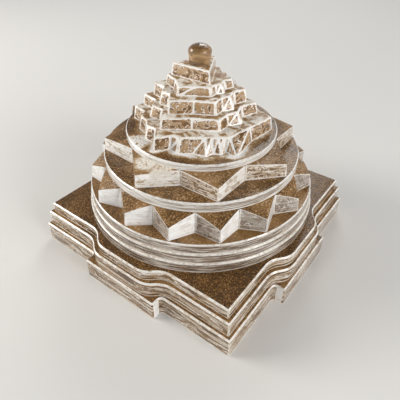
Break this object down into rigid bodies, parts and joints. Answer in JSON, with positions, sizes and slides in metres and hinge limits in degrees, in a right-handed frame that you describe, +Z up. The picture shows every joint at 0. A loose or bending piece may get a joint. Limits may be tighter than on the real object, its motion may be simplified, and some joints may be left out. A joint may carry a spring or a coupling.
{
  "type": "shri yantra",
  "caption": "Stepped pyramid yantra of clear crystal: gated square steps, stacked circles, petal rings and star-cut tiers under a domed drop, on a flat underside.",
  "frame": {"origin": "middle of the flat underside, under the axis of the circles", "axes": "+Z up through the tiers, X and Y square to the sides of the ground steps, one gate facing along each of +X, -X, +Y and -Y"},
  "size_m": [0.0984, 0.0984, 0.0791],
  "materials": {
    "crystal": "clear crystal, frosted walls, polished tops, hand cut"
  },
  "bodies": {
    "root": {"bhupura_lower_step": "crystal", "bhupura_middle_step": "crystal", "bhupura_upper_step": "crystal", "outer_circle_ring": "crystal", "middle_circle_ring": "crystal", "inner_circle_ring": "crystal", "sixteen_petal_lotus": "crystal", "sixteen_petal_circle": "crystal", "eight_petal_lotus": "crystal", "eight_petal_circle": "crystal", "fourteen_corner_tier": "crystal", "outer_ten_corner_tier": "crystal", "inner_ten_corner_tier": "crystal", "eight_corner_tier": "crystal", "triangle_tier": "crystal", "bindu": "crystal"}
  },
  "joints": []
}
